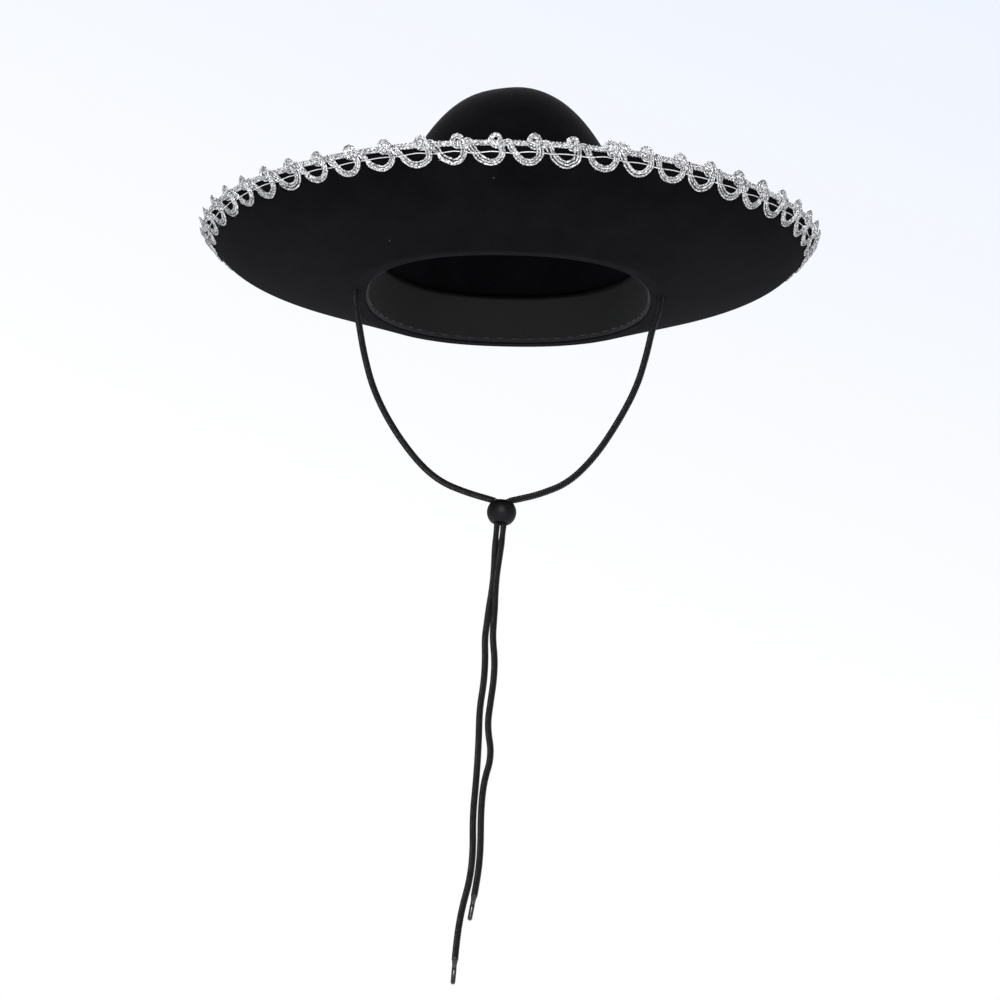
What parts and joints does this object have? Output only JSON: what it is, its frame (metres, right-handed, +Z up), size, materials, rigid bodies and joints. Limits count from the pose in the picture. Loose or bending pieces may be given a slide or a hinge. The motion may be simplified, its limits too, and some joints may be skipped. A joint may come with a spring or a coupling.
{
  "type": "sombrero",
  "caption": "Felt sombrero with a rounded conical crown, an upcurled round brim edged with silver scalloped gimp, and a braided chin cord with a sliding bead.",
  "frame": {"origin": "centre of the head opening, in the plane where the crown meets the brim's underside", "axes": "+Z up through the crown, -Y to the front of the hat, +X to the viewer's right of a hat seen from the front"},
  "size_m": [0.3336, 0.3333, 0.4887],
  "materials": {
    "felt": "matte pressed felt, near-black",
    "ribbon": "black grosgrain ribbon",
    "thread": "black sewing thread",
    "gimp": "silver metallic thread, twisted cords",
    "stay_thread": "bright silver-white thread",
    "cord": "black braided polyester, slight gloss",
    "bead": "satin black",
    "aglet": "glossy black"
  },
  "bodies": {
    "hat": {"crown": "felt", "brim": "felt", "sweatband": "ribbon", "crown_seam_stitches": "thread", "sweatband_stitches": "thread", "gimp_header_braid": "gimp", "gimp_scallops": "gimp", "gimp_picots": "gimp", "gimp_knots": "gimp", "gimp_stay_thread": "stay_thread", "chin_cord_left": "cord", "chin_cord_right": "cord", "chin_cord_crown_run": "cord", "aglet_left": "aglet", "aglet_right": "aglet"},
    "bead": {"chin_cord_bead": "bead"}
  },
  "joints": [
    {"name": "bead_slide", "type": "slide", "parent": "hat", "child": "bead", "axis": [-0.0778, 0, -0.997], "range_m": [0, 0.06]}
  ]
}
